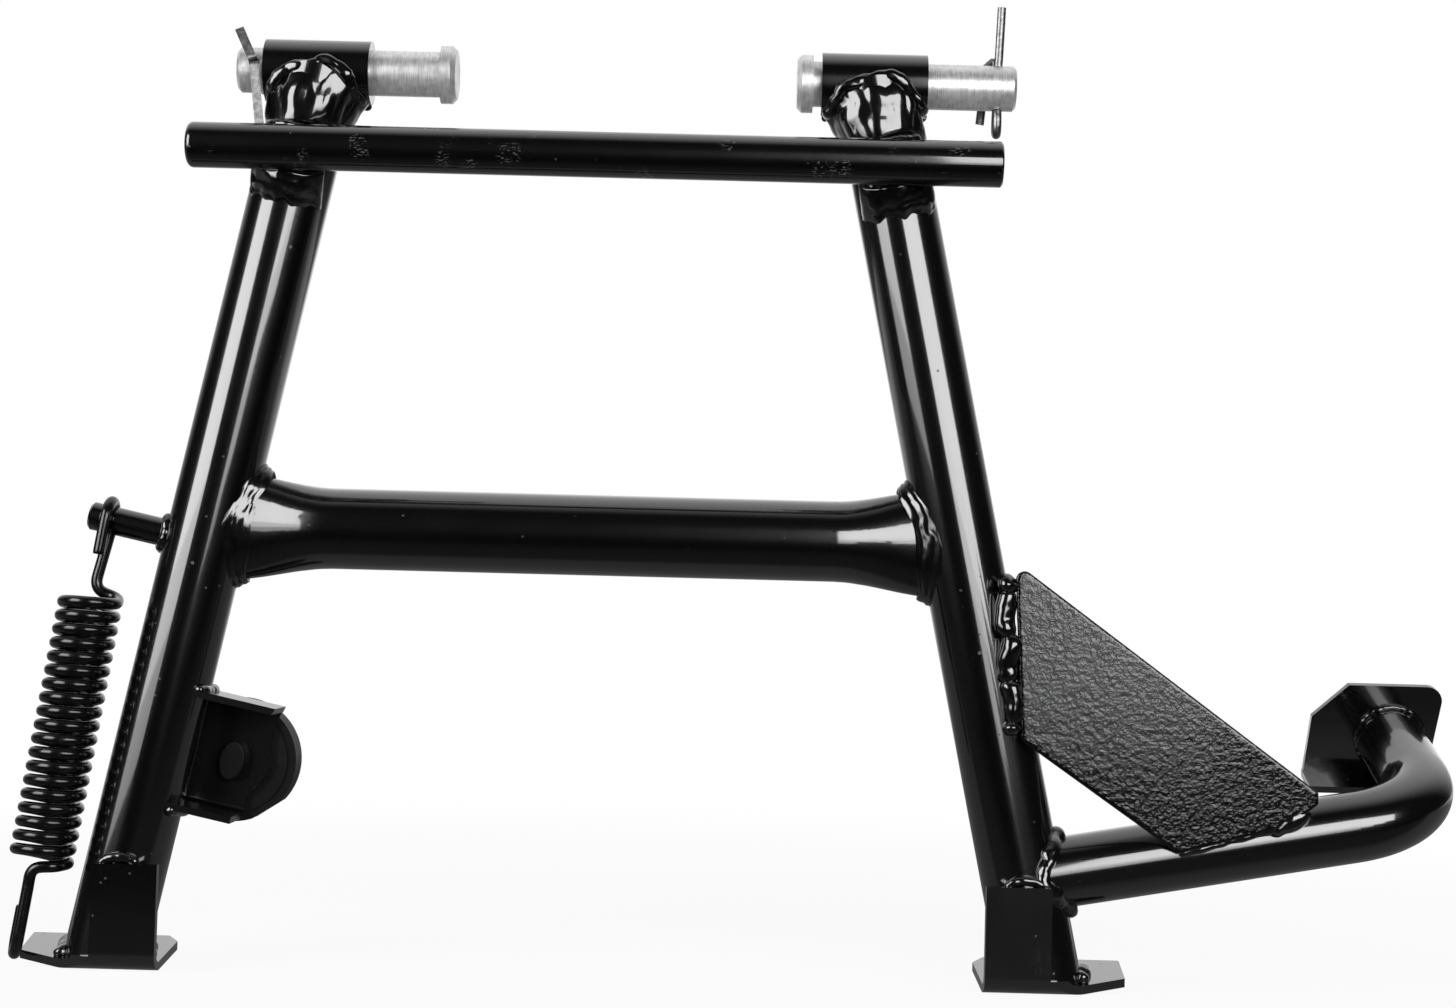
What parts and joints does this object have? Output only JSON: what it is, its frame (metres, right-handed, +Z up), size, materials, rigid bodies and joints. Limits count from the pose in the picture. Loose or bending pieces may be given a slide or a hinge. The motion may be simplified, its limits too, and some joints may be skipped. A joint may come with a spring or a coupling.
{
  "type": "motorcycle centre stand",
  "caption": "Welded tube centre stand with splayed legs, folded foot plates, pedal arm, gusset, rubber bumper, pivot pins and a return spring.",
  "frame": {"origin": "on the pivot axis, midway between the two pivot tubes", "axes": "+X along the pivot axis towards the pedal side, +Y to the rear of the machine, +Z up; the legs hang straight down in the XZ plane"},
  "size_m": [0.5189, 0.1037, 0.3471],
  "materials": {
    "black_paint": "gloss black paint",
    "weld_bead": "gloss black paint over rough weld",
    "spring_black": "semi-gloss black",
    "zinc_plate": "turned and zinc plated",
    "grey_steel": "drawn wire",
    "black_rubber": "moulded, matt"
  },
  "bodies": {
    "pivot_pins": {"right_pivot_pin": "zinc_plate", "left_pivot_pin": "zinc_plate", "right_split_pin": "grey_steel", "left_split_pin": "grey_steel"},
    "stand": {"right_leg": "black_paint", "left_leg": "black_paint", "right_pivot_tube": "black_paint", "left_pivot_tube": "black_paint", "right_pivot_weld": "weld_bead", "left_pivot_weld": "weld_bead", "right_crossbar_weld": "weld_bead", "left_crossbar_weld": "weld_bead", "right_tube_weld": "weld_bead", "left_tube_weld": "weld_bead", "right_foot_plate": "black_paint", "left_foot_plate": "black_paint", "right_foot_weld": "weld_bead", "left_foot_weld": "weld_bead", "right_flange_weld": "weld_bead", "left_flange_weld": "weld_bead", "crossbar": "black_paint", "lower_cross_tube": "black_paint", "pedal_arm": "black_paint", "arm_weld": "weld_bead", "pedal_pad": "black_paint", "pad_weld": "weld_bead", "gusset_plate": "black_paint", "gusset_weld": "weld_bead", "gusset_edge_weld": "weld_bead", "spring_peg": "black_paint", "peg_weld": "weld_bead", "bumper_bracket": "black_paint", "bracket_weld": "weld_bead", "rubber_bumper": "black_rubber"},
    "spring": {"return_spring": "spring_black"}
  },
  "joints": [
    {"name": "stand_swing", "type": "hinge", "parent": "pivot_pins", "child": "stand", "pos_m": [0, 0, 0], "axis": [1, 0, 0], "range_deg": [-9, 88]},
    {"name": "spring_swing", "type": "hinge", "parent": "stand", "child": "spring", "pos_m": [-0.1683, 0, -0.16142], "axis": [-0.9787, 0, 0.2052], "range_deg": [0, 120]}
  ]
}
